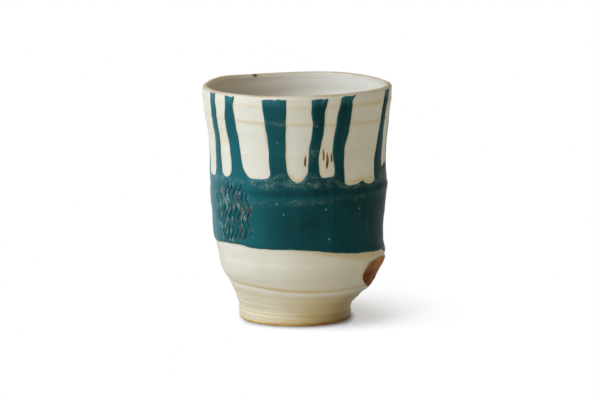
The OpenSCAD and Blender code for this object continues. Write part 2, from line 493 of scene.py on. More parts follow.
# the teal coat: a band with runs up to the lip, turns in degrees and the rest in mm
# a side is the sine of a turn: -1 at the left and 1 at the right
tealCoat = {
    "lowEdge": [(-180, 28.7), (-140, 31.0), (-110, 33.2), (-87, 34.4), (-74, 34.3), (-55, 35.3),
                (-42, 35.5), (-33, 34.9), (-15, 34.9), (0, 34.9), (21, 33.5), (30, 32.7), (37, 32.2),
                (50, 31.6), (67, 30.7), (79, 29.9), (84, 28.4), (89, 28.1), (95, 28.5), (120, 28.4),
                (180, 28.7)],
    "topEdge": [(-180, 64.4), (-140, 63.2), (-110, 64.0), (-82, 62.6), (-70, 62.8), (-52, 64.0),
                (-33, 64.2), (-18, 65.4), (-10, 67.4), (-5.9, 66.2), (-4.0, 64.9), (-2, 63.9),
                (-0.2, 63.5), (1.6, 63.9), (3.5, 64.9), (5.4, 66.3), (9, 67.2), (15, 65.2), (23, 65.1),
                (29, 62.6), (34, 61.4), (38, 61.3), (43, 61.9), (46.5, 62.6), (49, 61.4), (55, 60.8),
                (60, 61.7), (67, 63.6), (77, 66.9), (100, 64.4), (130, 65.2), (180, 64.4)],
    # each run: round corners to its left and right, then height, turn and width on the way down
    "runs": [
        (4, 4, [(98.6, -104, 5.6), (85, -103, 5.4), (76, -99, 6.2), (70, -96, 6.8), (64, -94, 7.4)]),
        (4, 4, [(99.1, -61.5, 4.2), (89, -61.2, 4.3), (81, -61.6, 4.2), (76, -62.1, 4.4), (71, -62.4, 4.9),
                (65, -62.9, 5.6)]),
        (4, 5.5, [(98.9, -44.6, 5.4), (95.6, -45.0, 4.6), (92, -45.3, 5.5), (89.5, -45.2, 5.9),
                  (82, -44.6, 6.2), (75, -43.6, 6.0), (70, -42.9, 6.4), (66, -42.2, 7.6)]),
        (2, 1.6, [(98.6, -13.9, 10.5), (91, -13.5, 9.5), (83, -13.2, 8.1), (76, -13.1, 7.2),
                  (71, -12.9, 7.1), (66, -12.1, 7.4)]),
        (1.6, 3, [(98.5, 13.6, 7.2), (96, 13.2, 6.6), (92.5, 12.7, 5.6), (88, 13.2, 5.1), (83, 12.5, 4.9),
                  (79, 11.2, 4.9), (75, 10.3, 4.4), (68.5, 10.3, 4.7)]),
        (3, 1.2, [(99.0, 32.5, 7.2), (97.6, 31.4, 5.8), (94.5, 30.6, 6.4), (92, 30.1, 6.7),
                  (84.5, 28.8, 6.6), (77, 27.0, 5.7), (72.5, 27.2, 5.2), (68.5, 27.8, 4.6),
                  (63, 28, 4.8)]),
        (1.2, 4, [(98.9, 71.2, 5.2), (94.7, 68.6, 4.8), (87, 67.2, 4.5), (81, 66.2, 5.0), (76, 66.4, 6.2),
                  (70, 64.8, 7.0), (64, 65.4, 7.4)]),
        (4, 4, [(98.2, 102, 5.6), (84, 97.5, 5.6), (76, 95.5, 6.0), (68, 98, 6.4)]),
        (4, 4, [(98.2, 123, 8.4), (84, 123.5, 7), (68, 124.0, 7.2)]),
        (3, 4, [(98.2, 143, 6), (80, 142, 5), (68, 141.4, 5.8)]),
        (4, 4, [(98.2, 166, 7), (86, 167, 6.2), (68, 168.4, 6.6)]),
        (4, 3, [(98.2, -170, 5.4), (84, -170.6, 5), (68, -171.6, 6.2)]),
        (4, 4, [(98.2, -147, 8.6), (84, -146.4, 7), (68, -145.4, 7.2)]),
        (4, 4, [(98.2, -122, 6), (80, -122.6, 5.6), (68, -123.2, 6.8)]),
    ],
    "topWaves": [(23, 0, 0.4, 0.07), (37, 0, 1.2, 0.05)],
    "lowWaves": [(19, 0, 0.3, 0.06), (41, 0, 1.9, 0.04)],
    "runWaves": [(31, 0.04, 0.2, 0.05), (5, 0.13, 1.0, 0.06)],
    "runTopWaves": [(60, 0, 0.5, 0.12), (97, 0, 2.0, 0.10)],
    "thick": 0.42, "runThick": 0.38, "runFrom": (64, 72),
    "thickWaves": [(7, 0.05, 0.9, 0.03), (13, 0.08, 2, 0.03)],
    "pool": 0.08, "poolUp": 0.8, "poolWidth": 1.6, "edgeWidth": 0.9, "thinnest": 0.03, "sunk": 0.25,
    "columns": 470, "rows": [(26.5, 0.46), (67, 0.7), (95, 0.42)], "overLip": 1.2,
    # frost bands: height, climb to the right, width and strength
    "frostBands": [(62.5, -0.6, 1.2, 1.0), (55.1, 1.0, 1.1, 0.7)],
    "frostShare": 0.55, "frostWaves": [(5, 0, 0.9, 0.4), (11, 0, 0.1, 0.3)],
    # frost patches: strength, turn, height and sizes
    "frostPatches": [(0.9, 9.5, 75.6, 1.8, 2.6), (1.0, 86, 29.2, 1.6, 1.3), (0.8, -3, 63.3, 4.5, 1.2),
                     (0.8, -22, 61.6, 4.5, 1.3)],
    "topFrost": (0.6, 0.9, 1.0),                        # share, depth under the top edge and width
    "collarFrost": (0.9, 0.9), "collarTurn": (-0.22, 0.9),     # share, width, middle and least cosine
    "breaks": [(83, 30.0, 2.2, 1.0)],                   # where the coat ends pale: turn, height and sizes
    # share and width at the edge, then shares with the heights and the sides over which they grow
    # the share at the far left is a painted sheen
    "thinEdge": (0.7, 0.4), "thinTop": (0.8, (94.5, 98.5)), "thinLeft": (1.1, (-0.82, -0.99)),
    "light": 0.06, "lightLeft": (0.92, (0.35, -1.0)),   # painted light: the coat is lighter towards the left, where the lamp is
    # a painted highlight on the band's ridge, painted shade in the dip above it, and painted light on the
    # runs, lighter to the right and darker to the left
    "ridgeLight": (0.15, 1.2), "ridgeDrop": (1.7, (0.45, 0.85)), "dipDark": (0.2, 1.3),
    "runLight": (0.12, -0.02), "runLightFrom": (64, 70),
}

# combed waves cut through the band at the left
combPanel = {
    "turn": -49, "height": 48.8, "lines": 9, "pitch": 2.5, "length": 27, "wave": 9.5, "swing": 1.0,
    "depth": 0.42, "cut": 0.38, "burr": 0.18, "burrOff": 0.72, "burrWidth": 0.20,
    "corner": 1.5, "fade": 1.6, "stagger": 0.8, "staggerStep": 2.3, "meshWidth": 0.62, "meshDense": 1.4,
}


def tealField(turn, z):
    # mm inside the teal coat, negative outside it
    outside = -99
    around = smoothCurve(thrownForm["profile"], z)
    field = edgeAt(tealCoat["topEdge"], turn) - z + ripple(turn, z, tealCoat["topWaves"])
    for leftCorner, rightCorner, path in tealCoat["runs"]:
        heights, turns, widths = np.array(path[::-1], float).T
        centre = np.radians(smoothCurve(np.stack([heights, turns], -1), z))
        half = smoothCurve(np.stack([heights, widths], -1), z) / 2
        across = wrapped(turn - centre) * around
        inside = half - np.abs(across) + ripple(turn, z, tealCoat["runWaves"])
        inside = np.minimum(inside, heights[-1] - z + ripple(turn, z, tealCoat["runTopWaves"]))
        onLeft = across < 0
        field = np.where(onLeft, meltMax(field, np.where(onLeft, inside, outside), leftCorner),
                         meltMax(field, np.where(onLeft, outside, inside), rightCorner))
    low = z - edgeAt(tealCoat["lowEdge"], turn) + ripple(turn, z, tealCoat["lowWaves"])
    return np.minimum(field, low)


def combRelief(turn, z):
    # groove and burr of the combed waves, as shares of their full size
    comb = combPanel
    up = z - comb["height"]
    across = acrossWall(turn, comb["turn"]) - comb["swing"] * np.sin(2 * math.pi * up / comb["wave"])
    line = np.round(across / comb["pitch"])
    reach = (comb["lines"] - 1) / 2
    half = comb["length"] / 2 * np.sqrt(np.clip(1 - (line / (reach + comb["corner"])) ** 2, 0, 1))
    staggered = np.abs(up + comb["stagger"] * np.sin(line * comb["staggerStep"]))
    fade = (np.abs(line) <= reach) * ease(half, half - comb["fade"], staggered)
    off = across - line * comb["pitch"]
    groove = bell(off, comb["cut"]) * fade
    burr = bell(np.abs(off) - comb["burrOff"], comb["burrWidth"]) * fade
    return groove, burr


def tealThickness(turn, z, inside):
    coat = tealCoat
    body = coat["thick"] + (coat["runThick"] - coat["thick"]) * ease(*coat["runFrom"], z)
    low = z - edgeAt(coat["lowEdge"], turn)
    body = body + coat["pool"] * bell(low - coat["poolUp"], coat["poolWidth"])
    body = body + ripple(turn, z, coat["thickWaves"])
    groove, burr = combRelief(turn, z)
    body = body * roundedEdge(inside, coat["edgeWidth"])
    return np.maximum(body - combPanel["depth"] * groove + combPanel["burr"] * burr, coat["thinnest"])


def spotAt(turn, z, degrees, middle, wide, high):
    return bell(acrossWall(turn, degrees), wide) * bell(z - middle, high)


def tealFrost(turn, z):
    coat = tealCoat
    frost = 0
    for middle, climb, width, strength in coat["frostBands"]:
        frost = frost + strength * bell(z - middle - climb * np.sin(turn), width)
    frost = frost * np.clip(coat["frostShare"] + ripple(turn, z, coat["frostWaves"]), 0, 1)
    for strength, *spot in coat["frostPatches"]:
        frost = frost + strength * spotAt(turn, z, *spot)
    share, depth, width = coat["topFrost"]
    frost = frost + share * bell(edgeAt(coat["topEdge"], turn) - z - depth, width)
    share, width = coat["collarFrost"]
    middle, least = coat["collarTurn"]
    return frost + share * bell(z - ringHeight("collar", turn), width) * (np.cos(turn - middle) > least)


def tealThinAndSheen(turn, z, inside):
    share, width = tealCoat["thinEdge"]
    thin = share * bell(inside, width)
    share, heights = tealCoat["thinTop"]
    thin = thin + share * ease(*heights, z)
    # painted sheen along the far left
    share, sides = tealCoat["thinLeft"]
    return thin + share * ease(*sides, np.sin(turn))


def tealPaintedLight(turn, z):
    # painted light and shade on the teal: lighter to the left, a highlight on the ridge, shade in the dip,
    # and the runs lighter to the right
    side = np.sin(turn)
    share, sides = tealCoat["lightLeft"]
    light = tealCoat["light"] + share * ease(*sides, side)
    drop, sides = tealCoat["ridgeDrop"]
    share, width = tealCoat["ridgeLight"]
    light = light + share * bell(z - ringHeight("bandRidge", turn) + drop * ease(*sides, side), width)
    share, width = tealCoat["dipDark"]
    light = light - share * bell(z - ringHeight("bandDip", turn), width)
    slope, level = tealCoat["runLight"]
    return light + (slope * side + level) * ease(*tealCoat["runLightFrom"], z)


def buildTeal():
    comb = combPanel
    combWidth = comb["lines"] * comb["pitch"] / thrownForm["wallRadius"] * comb["meshWidth"]
    turns = wheelColumns(tealCoat["columns"], math.radians(comb["turn"]), combWidth, comb["meshDense"])
    heights = gradedRows(tealCoat["rows"], lipHeight + tealCoat["overLip"])
    turn, z, faces = coverMesh(turns, heights, tealField(*np.meshgrid(turns, heights)), True)
    skin = skinRadius(turn, z)
    inside = np.maximum(tealField(turn, z), 0)
    top = place(turn, z, skin + tealThickness(turn, z, inside))
    points, faces = closeCoat(faces, top, place(turn, z, skin - tealCoat["sunk"]))
    groove, burr = combRelief(turn, z)
    for spot in tealCoat["breaks"]:
        burr = burr + spotAt(turn, z, *spot)
    values = {"groove": groove, "burr": burr, "frost": tealFrost(turn, z),
              "thin": tealThinAndSheen(turn, z, inside), "light": tealPaintedLight(turn, z)}
    piece = makePiece("tealCoat", points, faces, bothFaces(values), fired("tealGlaze", tealLook))
    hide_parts("teal_band", "teal_runs")
    return piece


creamLook = {
    "base": (0.67, 0.68, 0.62), "warm": (0.61, 0.575, 0.46), "tan": (0.58, 0.47, 0.22),
    "pale": (0.725, 0.755, 0.73), "brown": (0.36, 0.26, 0.105), "speck": (0.42, 0.24, 0.09),
    "layers": [
        ("warm", {"grains": [((45, 45, 45), 4, 0.38, 0.7)], "share": 0.5}),
        ("warm", {"grains": [((14, 14, 900), 3, 0.42, 0.75)], "share": 0.18}),       # rings
        ("warm", {"grains": [((420, 420, 9), 2, 0.5, 0.8)], "share": 0.16}),         # drips
        ("pale", {"painted": "pooled"}),
        ("tan", {"painted": "thin", "grains": [((160, 160, 160), 4, 0.25, 0.6, (0.75, 1.0))]}),
        # brown: scorch at the finger mark's edge and the tan ring, and painted shade on the foot's right
        # and low on the right
        ("brown", {"painted": "shadedAndScorched"}),
        ("speck", {"dots": ((260, 260, 260), 0.14, 0.012), "share": 0.5}),
    ],
    "bump": ((700, 700, 1200), 3, 0.12, 0.0004), "roughness": 0.42, "specular": 0.35,
}

# the cream coat, open at the finger mark
everyHeight = (120, 110)    # full from 110 mm down
everySide = (-2, -1)        # full from the left on
creamCoat = {
    "columns": 325, "denseTurn": 95, "dense": 0.5, "edgeWidth": 0.7, "edgeDrop": 0.8,
    "stopLeft": 0.95, "stopRight": 1.3, "stopSides": (-0.9, 0.3),       # how low the coat reaches
    "stopWaves": [(7, 0, 0.4, 0.12), (17, 0, 1.1, 0.08)],
    "rows": [(0.75, 0.32), (19, 0.6), (36.5, 3.0), (59.5, 0.5), (66.5, 1.2), (72.5, 0.6), (76, 1.2),
             (86, 0.5), (90.5, 1.0), (93.5, 0.6)],
    # tan beside the teal: share, distance and width, and its share under the band
    "halo": (0.75, 0.3, 0.5), "haloBelow": 0.55,
    "haloShare": 0.4, "haloLeast": 0.05, "haloWaves": [(7, 0.03, 0.5, 0.35), (16, 0.06, 1.4, 0.3)],
    # tan where the glaze settled over the band, by turn, then its distance and width
    "windowTan": [(-180, 0.5), (-140, 0.9), (-100, 0.3), (-52, 0.2), (-30, 0.25), (-18, 0.1), (-8, 0.7),
                  (2, 0.9), (12, 0.3), (24, 0.3), (34, 0.65), (58, 0.72), (77, 0.6), (120, 0.8),
                  (180, 0.5)],
    "windowTanUp": (0.9, 1.1),
    # tan lines: turn and height at both ends, width and share
    "lines": [(32.8, 63.5, 45.5, 62.7, 0.45, 0.95), (45, 62.7, 60, 63.4, 0.45, 0.9),
              (-42, 72.9, -16, 77.2, 1.1, 0.24)],
    "lineEnds": [(-0.02, 0.05), (1.02, 0.95)],
    # a tan streak under the band: its height by turn, share, width and where it grows and fades
    "streak": [(-180, 34.6), (0, 34.6), (7.5, 33.9), (14, 33.2), (21, 32.3), (28, 31.5), (36, 30.6),
               (42, 29.7), (49, 28.6), (57, 27.4), (180, 27.4)],
    "streakShare": 0.95, "streakWidth": 0.8, "streakTurns": [(4, 18), (60, 46)],
    # how far down the glaze is tan between the streak and the band
    "fill": [(-180, 34.6), (0, 34.6), (7.5, 33.9), (21, 32.3), (36, 30.7), (46, 29.3), (60, 29.0),
             (84, 29.2), (180, 29)],
    "fillShare": 0.75, "fillSoft": (-0.7, 0.5), "fillTurns": [(4, 22), (96, 72)],
    "stain": (0.4, 1.5),                                        # round the iron: share and width
    # a warmer low wall, and in the second row painted warm light that grows to the right
    "warmthAndPaintedLight": [(0.08, everySide, (37, 31)), (0.11, (-0.6, 0.5), (37, 31))],
    "window": (0.16, 20, 11), "windowHeights": [(60, 64), (88, 80)],    # share, turn and width
    "ringShare": 0.8, "ringSwing": 0.3, "ringSwingAbove": 20,
    "ringBreaks": [(2, 0.07, 0.6, 0.15), (5, 0.11, 0.2, 0.12), (13, 0.2, 1, 0.1)],
    "ledgeShare": 0.7, "ledgeFront": (0.4, 0.5), "ledgeUp": 0.15, "ledgeWidth": 0.85,
    "ledgeWiden": (0.15, (0.2, 0.6)),
    "markEdge": (0.6, 0.5), "hem": (0.9, (1.9, 1.3)),
    # patches: share, then the sides and the heights over which they grow
    "footShare": 0.27, "footFrom": (1.2, 4.0), "footPale": (0.35, 0.5),
    # tan on the foot; in the first row its growth to the right is painted shade
    "foot": [(0.7, (-0.55, 0.8), everyHeight), (0.15, (-0.65, -0.95), everyHeight),
             (0.35, (-0.95, -0.3), (6, 3))],
    # painted shade on the right of the foot in the first row and low on the right in the last; the middle
    # row is browner low on the left
    "shadeAndScorch": [(0.5, (0.5, 0.85), (14, 11)), (0.14, (-0.5, -0.9), (8, 5)), (0.6, (0.0, 0.6), (6.5, 2))],
    "markScorch": 0.1, "markScorchTop": (0.65, (23, 27)), "markScorchWidth": 0.8,
    "ringScorch": (0.25, 0.55, (-0.7, 0.2)),                    # share, width and sides
    "pool": (0.95, 1.1, 0.6), "markPool": (0.4, 1.4, 0.6),      # share, distance and width
}


def patches(rows, side, z):
    return sum(share * ease(*sides, side) * ease(*heights, z) for share, sides, heights in rows)


def tanByTeal(turn, z):
    # beside the teal, in the streak under the band and where the glaze settled over it
    coat = creamCoat
    degrees = np.degrees(wrapped(turn))
    under = z < edgeAt(tealCoat["lowEdge"], turn)
    share, off, width = coat["halo"]
    uneven = np.clip(coat["haloShare"] + ripple(turn, z, coat["haloWaves"]), coat["haloLeast"], 1)
    clear = np.maximum(-tealField(turn, z), 0)
    halo = share * bell(clear - off, width) * uneven * np.where(under, coat["haloBelow"], 1)
    streak = coat["streakShare"] * bell(z - edgeAt(coat["streak"], turn), coat["streakWidth"])
    streak = streak * between(*coat["streakTurns"], degrees)
    fill = coat["fillShare"] * ease(*coat["fillSoft"], z - edgeAt(coat["fill"], turn))
    fill = fill * between(*coat["fillTurns"], degrees)
    off, width = coat["windowTanUp"]
    settled = edgeAt(coat["windowTan"], turn) * bell(z - edgeAt(tealCoat["topEdge"], turn) - off, width)
    return [halo, np.maximum(streak, fill) * under, settled]


def tanInWindows(turn, z):
    # lines, stains round the iron, a warm window and the throwing rings
    coat = creamCoat
    degrees = np.degrees(wrapped(turn))
    shares = []
    for fromTurn, fromHeight, toTurn, toHeight, width, share in coat["lines"]:
        along = (degrees - fromTurn) / (toTurn - fromTurn)
        middle = fromHeight + (toHeight - fromHeight) * along
        shares.append(share * bell(z - middle, width) * between(*coat["lineEnds"], along))
    share, width = coat["stain"]
    for turned, middle, length, _ in ironMarks["streaks"]:
        beyond = np.maximum(np.abs(z - middle) - length / 2, 0)
        shares.append(share * bell(np.hypot(acrossWall(turn, turned), beyond), width))
    share, middle, width = coat["window"]
    shares.append(share * bell(degrees - middle, width) * between(*coat["windowHeights"], z))
    for name, (height, _, _, width, share) in thrownForm["rings"].items():
        swing = coat["ringSwing"] * (height > coat["ringSwingAbove"])
        broken = coat["ringShare"] + ripple(turn, height, [(1, 0, 0, swing)] + coat["ringBreaks"])
        shares.append(share * np.clip(broken, 0, 1) * bell(z - ringHeight(name, turn), width))
    return shares


def tanBelow(turn, z, away):
    # the lower wall with painted warm light on its right, the ledge, the edge of the finger mark, the foot
    # with painted shade on its right and the coat's hem
    coat = creamCoat
    side = np.sin(turn)
    ledge = edgeAt(thrownForm["ledge"], turn)
    share, width = coat["ledgeFront"]
    line = coat["ledgeShare"] + share * bell(side, width)
    share, sides = coat["ledgeWiden"]
    line = line * bell(z - ledge - coat["ledgeUp"], coat["ledgeWidth"] + share * ease(*sides, side))
    share, width = coat["footPale"]
    foot = np.minimum(coat["footShare"] + patches(coat["foot"], side, z), 1)
    foot = foot * (1 - share * bell(z - ringHeight("footPale", turn), width))
    start, full = coat["footFrom"]
    edge, width = coat["markEdge"]
    hem, heights = coat["hem"]
    return [patches(coat["warmthAndPaintedLight"], side, z), line, edge * bell(away, width),
            foot * ease(ledge - start, ledge - full, z), hem * ease(*heights, z)]


def creamPooled(turn, z, away):
    share, down, width = creamCoat["pool"]
    underLedge = share * bell(z - edgeAt(thrownForm["ledge"], turn) + down, width)
    share, off, width = creamCoat["markPool"]
    return np.maximum(underLedge, share * bell(away - off, width))


def creamShadedAndScorched(turn, z, away):
    # scorch at the finger mark's edge and the tan ring, and painted shade low on the right
    coat = creamCoat
    side = np.sin(turn)
    share, heights = coat["markScorchTop"]
    mark = (coat["markScorch"] + share * ease(*heights, z)) * bell(away, coat["markScorchWidth"])
    share, width, sides = coat["ringScorch"]
    ring = share * bell(z - ringHeight("footTan", turn), width) * ease(*sides, side)
    return mark + ring + patches(coat["shadeAndScorch"], side, z)


def buildCream():
    coat = creamCoat
    turns = wheelColumns(coat["columns"], 0, math.radians(coat["denseTurn"]), coat["dense"])
    heights = gradedRows(coat["rows"], lipHeight)
    t, h = np.meshgrid(turns, heights)
    stop = coat["stopLeft"] + (coat["stopRight"] - coat["stopLeft"]) * ease(*coat["stopSides"], np.sin(t))
    stop = h - stop + ripple(t, h, coat["stopWaves"])
    turn, z, faces = coverMesh(turns, heights, np.minimum(-markField(t, h), stop), True)
    skin = skinRadius(turn, z)
    away = -markField(turn, z)
    top = skin - creamThick * coat["edgeDrop"] * (1 - roundedEdge(away, coat["edgeWidth"]))
    points, faces = closeCoat(faces, place(turn, z, top), place(turn, z, skin - creamThick))
    thin = np.maximum.reduce(tanByTeal(turn, z) + tanInWindows(turn, z) + tanBelow(turn, z, away))
    values = {"thin": thin, "pooled": creamPooled(turn, z, away), "shadedAndScorched": creamShadedAndScorched(turn, z, away)}
    piece = makePiece("creamCoat", points, faces, bothFaces(values), fired("creamGlaze", creamLook))
    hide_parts("cream_glaze")
    return piece


# the clay under the coats
clayLook = {
    "base": (0.155, 0.048, 0.016), "brown": (0.085, 0.028, 0.009), "sand": (0.43, 0.205, 0.095),
    "layers": [
        ("brown", {"grains": [((160, 160, 120), 4, 0.35, 0.65)]}),
        # painted light on the finger mark
        ("sand", {"painted": "toasted"}),
        ("sand", {"grains": [((900, 900, 70), 3, 0.48, 0.66)], "share": 0.2}),       # drawn by the finger
        ("sand", {"dots": ((1100, 1100, 1100), 0.3, 0.12), "share": 0.25}),
    ],
    "bump": ((1500, 1500, 500), 4, 0.35, 0.0005), "roughness": 0.75, "specular": 0.05,
}

clayWall = {
    "columns": 320, "thick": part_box("clay_body")[1].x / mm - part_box("liner_glaze")[1].x / mm,
    "lipTaper": 0.7, "taperDepth": 14, "bowlHeight": 30, "bowlPower": 2.6,
    "wheelMarks": [(1, 0.16, 0.4, 0.10), (1, 0.07, 2.0, 0.12)], "marksBelowLip": 6,
    "fineTop": 32, "fineStep": 0.35, "upperRows": 50, "insideRows": 60, "bowlRows": 40, "lipRows": 10,
    "underRows": 16, "spiral": 0.15, "spiralStep": 2.1, "spiralFrom": (0, 3),
    # painted light in the finger mark, lighter at the back by turn and higher up, and sandier along its
    # edge
    "toastTurns": [(54, 72), (112, 84)], "toastBack": 0.7, "toastTop": (0.42, (21.5, 25)),
    "sandEdge": (0.12, 0.8),
}
linerThick = 2 * lipRound - creamThick - clayWall["thick"]


def insideLine(turn, coat):
    # radius and height of the inside from the lip down to the middle of the floor
    wall = clayWall
    heights = np.linspace(lipHeight, wall["bowlHeight"], wall["insideRows"])
    radii = smoothCurve(thrownForm["profile"], heights) - creamThick - wall["thick"] - coat
    marks = ripple(turn, heights, wall["wheelMarks"])
    radii = radii + marks * ease(lipHeight, lipHeight - wall["marksBelowLip"], heights)
    radii = radii + wall["lipTaper"] * ease(lipHeight - wall["taperDepth"], lipHeight, heights)
    angle = np.linspace(math.pi / 2, 0, wall["bowlRows"])[1:]
    power = 2 / wall["bowlPower"]
    low = floorHeight + coat
    bowlRadii = radii[-1] * np.sin(angle) ** power
    bowlHeights = wall["bowlHeight"] - (wall["bowlHeight"] - low) * np.cos(angle) ** power
    return np.concatenate([radii, bowlRadii]), np.concatenate([heights, bowlHeights])


def buildClay():
    wall = clayWall
    fine = np.arange(footHeight, wall["fineTop"], wall["fineStep"])
    heights = np.concatenate([fine, np.linspace(wall["fineTop"], lipHeight, wall["upperRows"])])

    def outline(turn):
        outer = skinRadius(turn, heights) - creamThick
        lipAngle = np.linspace(0, math.pi, wall["lipRows"])[1:-1]
        half = (wall["thick"] - wall["lipTaper"]) / 2
        radii, inner = insideLine(turn, 0)
        under = np.concatenate([[0], np.linspace(0, outer[0], wall["underRows"])[1:-1]])
        spiral = wall["spiral"] * np.sin(under * wall["spiralStep"] + turn)
        spiral = spiral * ease(*wall["spiralFrom"], under)
        return (np.concatenate([under, outer, outer[-1] - half + half * np.cos(lipAngle), radii]),
                np.concatenate([footHeight + spiral, heights, lipHeight + half * np.sin(lipAngle), inner]))

    points, faces, turn, z, _ = spunMesh(wall["columns"], outline)
    # painted light on the finger mark's back and top, where light falls in the hollow
    share, rise = wall["toastTop"]
    toasted = wall["toastBack"] * between(*wall["toastTurns"], np.degrees(turn)) + share * ease(*rise, z)
    share, width = wall["sandEdge"]
    toasted = np.clip(toasted + share * bell(markField(turn, z), width), 0, 1)
    piece = makePiece("clayWall", points, faces, {"toasted": toasted}, fired("bareClay", clayLook))
    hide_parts("clay_body")
    return piece


linerLook = {
    "base": (0.73, 0.725, 0.665), "warm": (0.55, 0.50, 0.40), "deep": (0.44, 0.41, 0.335),
    "speck": creamLook["speck"],
    "layers": [
        # thin here is painted shade on the left inside wall
        ("warm", {"grains": [((40, 40, 60), 4, 0.4, 0.7)], "share": 0.25, "added": "thin"}),
        ("warm", {"grains": [((12, 12, 700), 3, 0.45, 0.75)], "share": 0.25}),       # rings
        ("deep", {"painted": "deep"}),
        ("speck", {"dots": ((240, 240, 240), 0.12, 0.03), "share": 0.3}),
    ],
    "bump": ((500, 500, 900), 3, 0.12, 0.0004), "roughness": 0.4, "specular": 0.35,
}

# painted shade on the liner: warmer and darker on the left wall, under the name thin, and greyer below the
# lip, more so on the left, but less so far down
linerCoat = {
    "thin": 0.38, "deep": 0.62, "deepLeft": 0.3, "deepFrom": (99, 88.5), "clearer": (0.6, (82, 60)),
}


def buildLiner():
    def outline(turn):
        outerRadii, outerHeights = insideLine(turn, 0)
        innerRadii, innerHeights = insideLine(turn, linerThick)
        return (np.concatenate([outerRadii[::-1], innerRadii]),
                np.concatenate([outerHeights[::-1], innerHeights]))

    points, faces, turn, z, _ = spunMesh(clayWall["columns"], outline)
    side = np.sin(turn)
    # painted shade on the left inside wall, under the name thin, and greyer below the lip
    thin = linerCoat["thin"] - linerCoat["thin"] * side
    deep = (linerCoat["deep"] - linerCoat["deepLeft"] * side) * ease(*linerCoat["deepFrom"], z)
    share, heights = linerCoat["clearer"]
    deep = deep * (1 - share * ease(*heights, z))
    values = {"thin": thin, "deep": deep}
    piece = makePiece("linerCoat", points, faces, values, fired("linerGlaze", linerLook))
    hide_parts("liner_glaze")
    return piece


lipLook = {
    "base": (0.64, 0.62, 0.53), "inside": (0.60, 0.58, 0.51), "tan": (0.42, 0.335, 0.19),
    "layers": [
        ("inside", {"painted": "inside"}),
        ("tan", {"painted": "crest", "grains": [((90, 90, 400), 4, 0.35, 0.7, (0.55, 1.0))]}),
    ],
    "bump": ((600, 600, 900), 3, 0.15, 0.0004), "roughness": 0.42, "specular": 0.35,
}

lipCoat = {
    "rows": 15, "waves": [(4, 0, 0.3, 0.05), (9, 0, 1.0, 0.04)],
    "crest": (0.25, 0.85), "inside": (0.2, -0.6),
}


def lipLine(turn, angle, off):
    # radius and height on the lip's half round, from the outside over the top
    outer = skinRadius(turn, lipHeight + 0 * angle)
    size = lipRound + off + ripple(turn, 0, lipCoat["waves"]) * np.sin(angle)
    half = lipRound - clayWall["lipTaper"] / 2
    return outer - half + (half + off) * np.cos(angle), lipHeight + size * np.sin(angle)


def lipPoint(turn, angle, off):
    r, z = lipLine(turn, angle, off)
    return place(turn, z, r)


def buildLip():
    arc = np.linspace(0, math.pi, lipCoat["rows"])

    def outline(turn):
        over = lipLine(turn, arc, 0)
        under = lipLine(turn, arc[::-1], clayWall["thick"] / 2 - lipRound)
        return np.concatenate([over[0], under[0]]), np.concatenate([over[1], under[1]])

    points, faces, turn, z, r = spunMesh(creamCoat["columns"], outline)
    middle = skinRadius(turn, lipHeight + 0 * z) - lipRound + clayWall["lipTaper"] / 2
    values = {"crest": ease(*lipCoat["crest"], (z - lipHeight) / lipRound),
              "inside": ease(*lipCoat["inside"], r - middle)}
    piece = makePiece("lipCoat", points, faces, values, fired("lipGlaze", lipLook))
    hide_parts("lip_glaze")
    return piece


footLook = {
    "base": (0.60, 0.41, 0.16), "orange": (0.53, 0.31, 0.09), "brown": (0.32, 0.17, 0.06),
    "layers": [
        ("orange", {"grains": [((110, 110, 300), 4, 0.35, 0.65)]}),
        # painted shade on the right of the foot ring
        ("brown", {"painted": "toasted"}),
        ("brown", {"dots": ((700, 700, 700), 0.3, 0.1), "share": 0.6}),
    ],
    "bump": ((1400, 1400, 1400), 4, 0.3, 0.0005), "roughness": 0.62, "specular": 0.12,
}

footRing = {
    "columns": 320, "width": 5.0, "round": 0.6, "roundRows": 7, "sideRows": 14,
    # the last entry is painted shade, browner towards the right
    "groove": 0.08, "grooveStep": 4, "toasted": (0.65, (0.05, 0.7)),
}


def buildFoot():
    arc = np.linspace(0, math.pi / 2, footRing["roundRows"])
    soft = footRing["round"]
    heights = np.linspace(soft, footHeight, footRing["sideRows"])[1:]

    def outline(turn):
        outer = skinRadius(turn, heights) - creamThick
        inner = footRadius - footRing["width"]
        base = outer[0]
        bottomOut = (base - soft + soft * np.sin(arc), soft - soft * np.cos(arc))
        bottomIn = (inner + soft - soft * np.sin(arc[::-1]), soft - soft * np.cos(arc[::-1]))
        groove = inner + footRing["groove"] * np.sin(heights[::-1] * footRing["grooveStep"] + turn)
        return (np.concatenate([bottomOut[0], outer, groove, bottomIn[0]]),
                np.concatenate([bottomOut[1], heights, heights[::-1], bottomIn[1]]))

    points, faces, turn, _, _ = spunMesh(footRing["columns"], outline)
    # painted shade on the foot ring's right
    share, sides = footRing["toasted"]
    toasted = share * ease(*sides, np.sin(turn))
    piece = makePiece("footRing", points, faces, {"toasted": toasted}, fired("footClay", footLook))
    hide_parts("foot_ring")
    return piece


ironLook = {
    "base": (0.060, 0.031, 0.013), "amber": (0.31, 0.18, 0.052),
    "layers": [
        ("amber", {"grains": [((500, 500, 300), 3, 0.4, 0.7)], "share": 0.6}),
        ("amber", {"painted": "thin"}),
    ],
    "bump": ((900, 900, 900), 3, 0.15, 0.0003), "roughness": 0.35, "specular": 0.4,
}

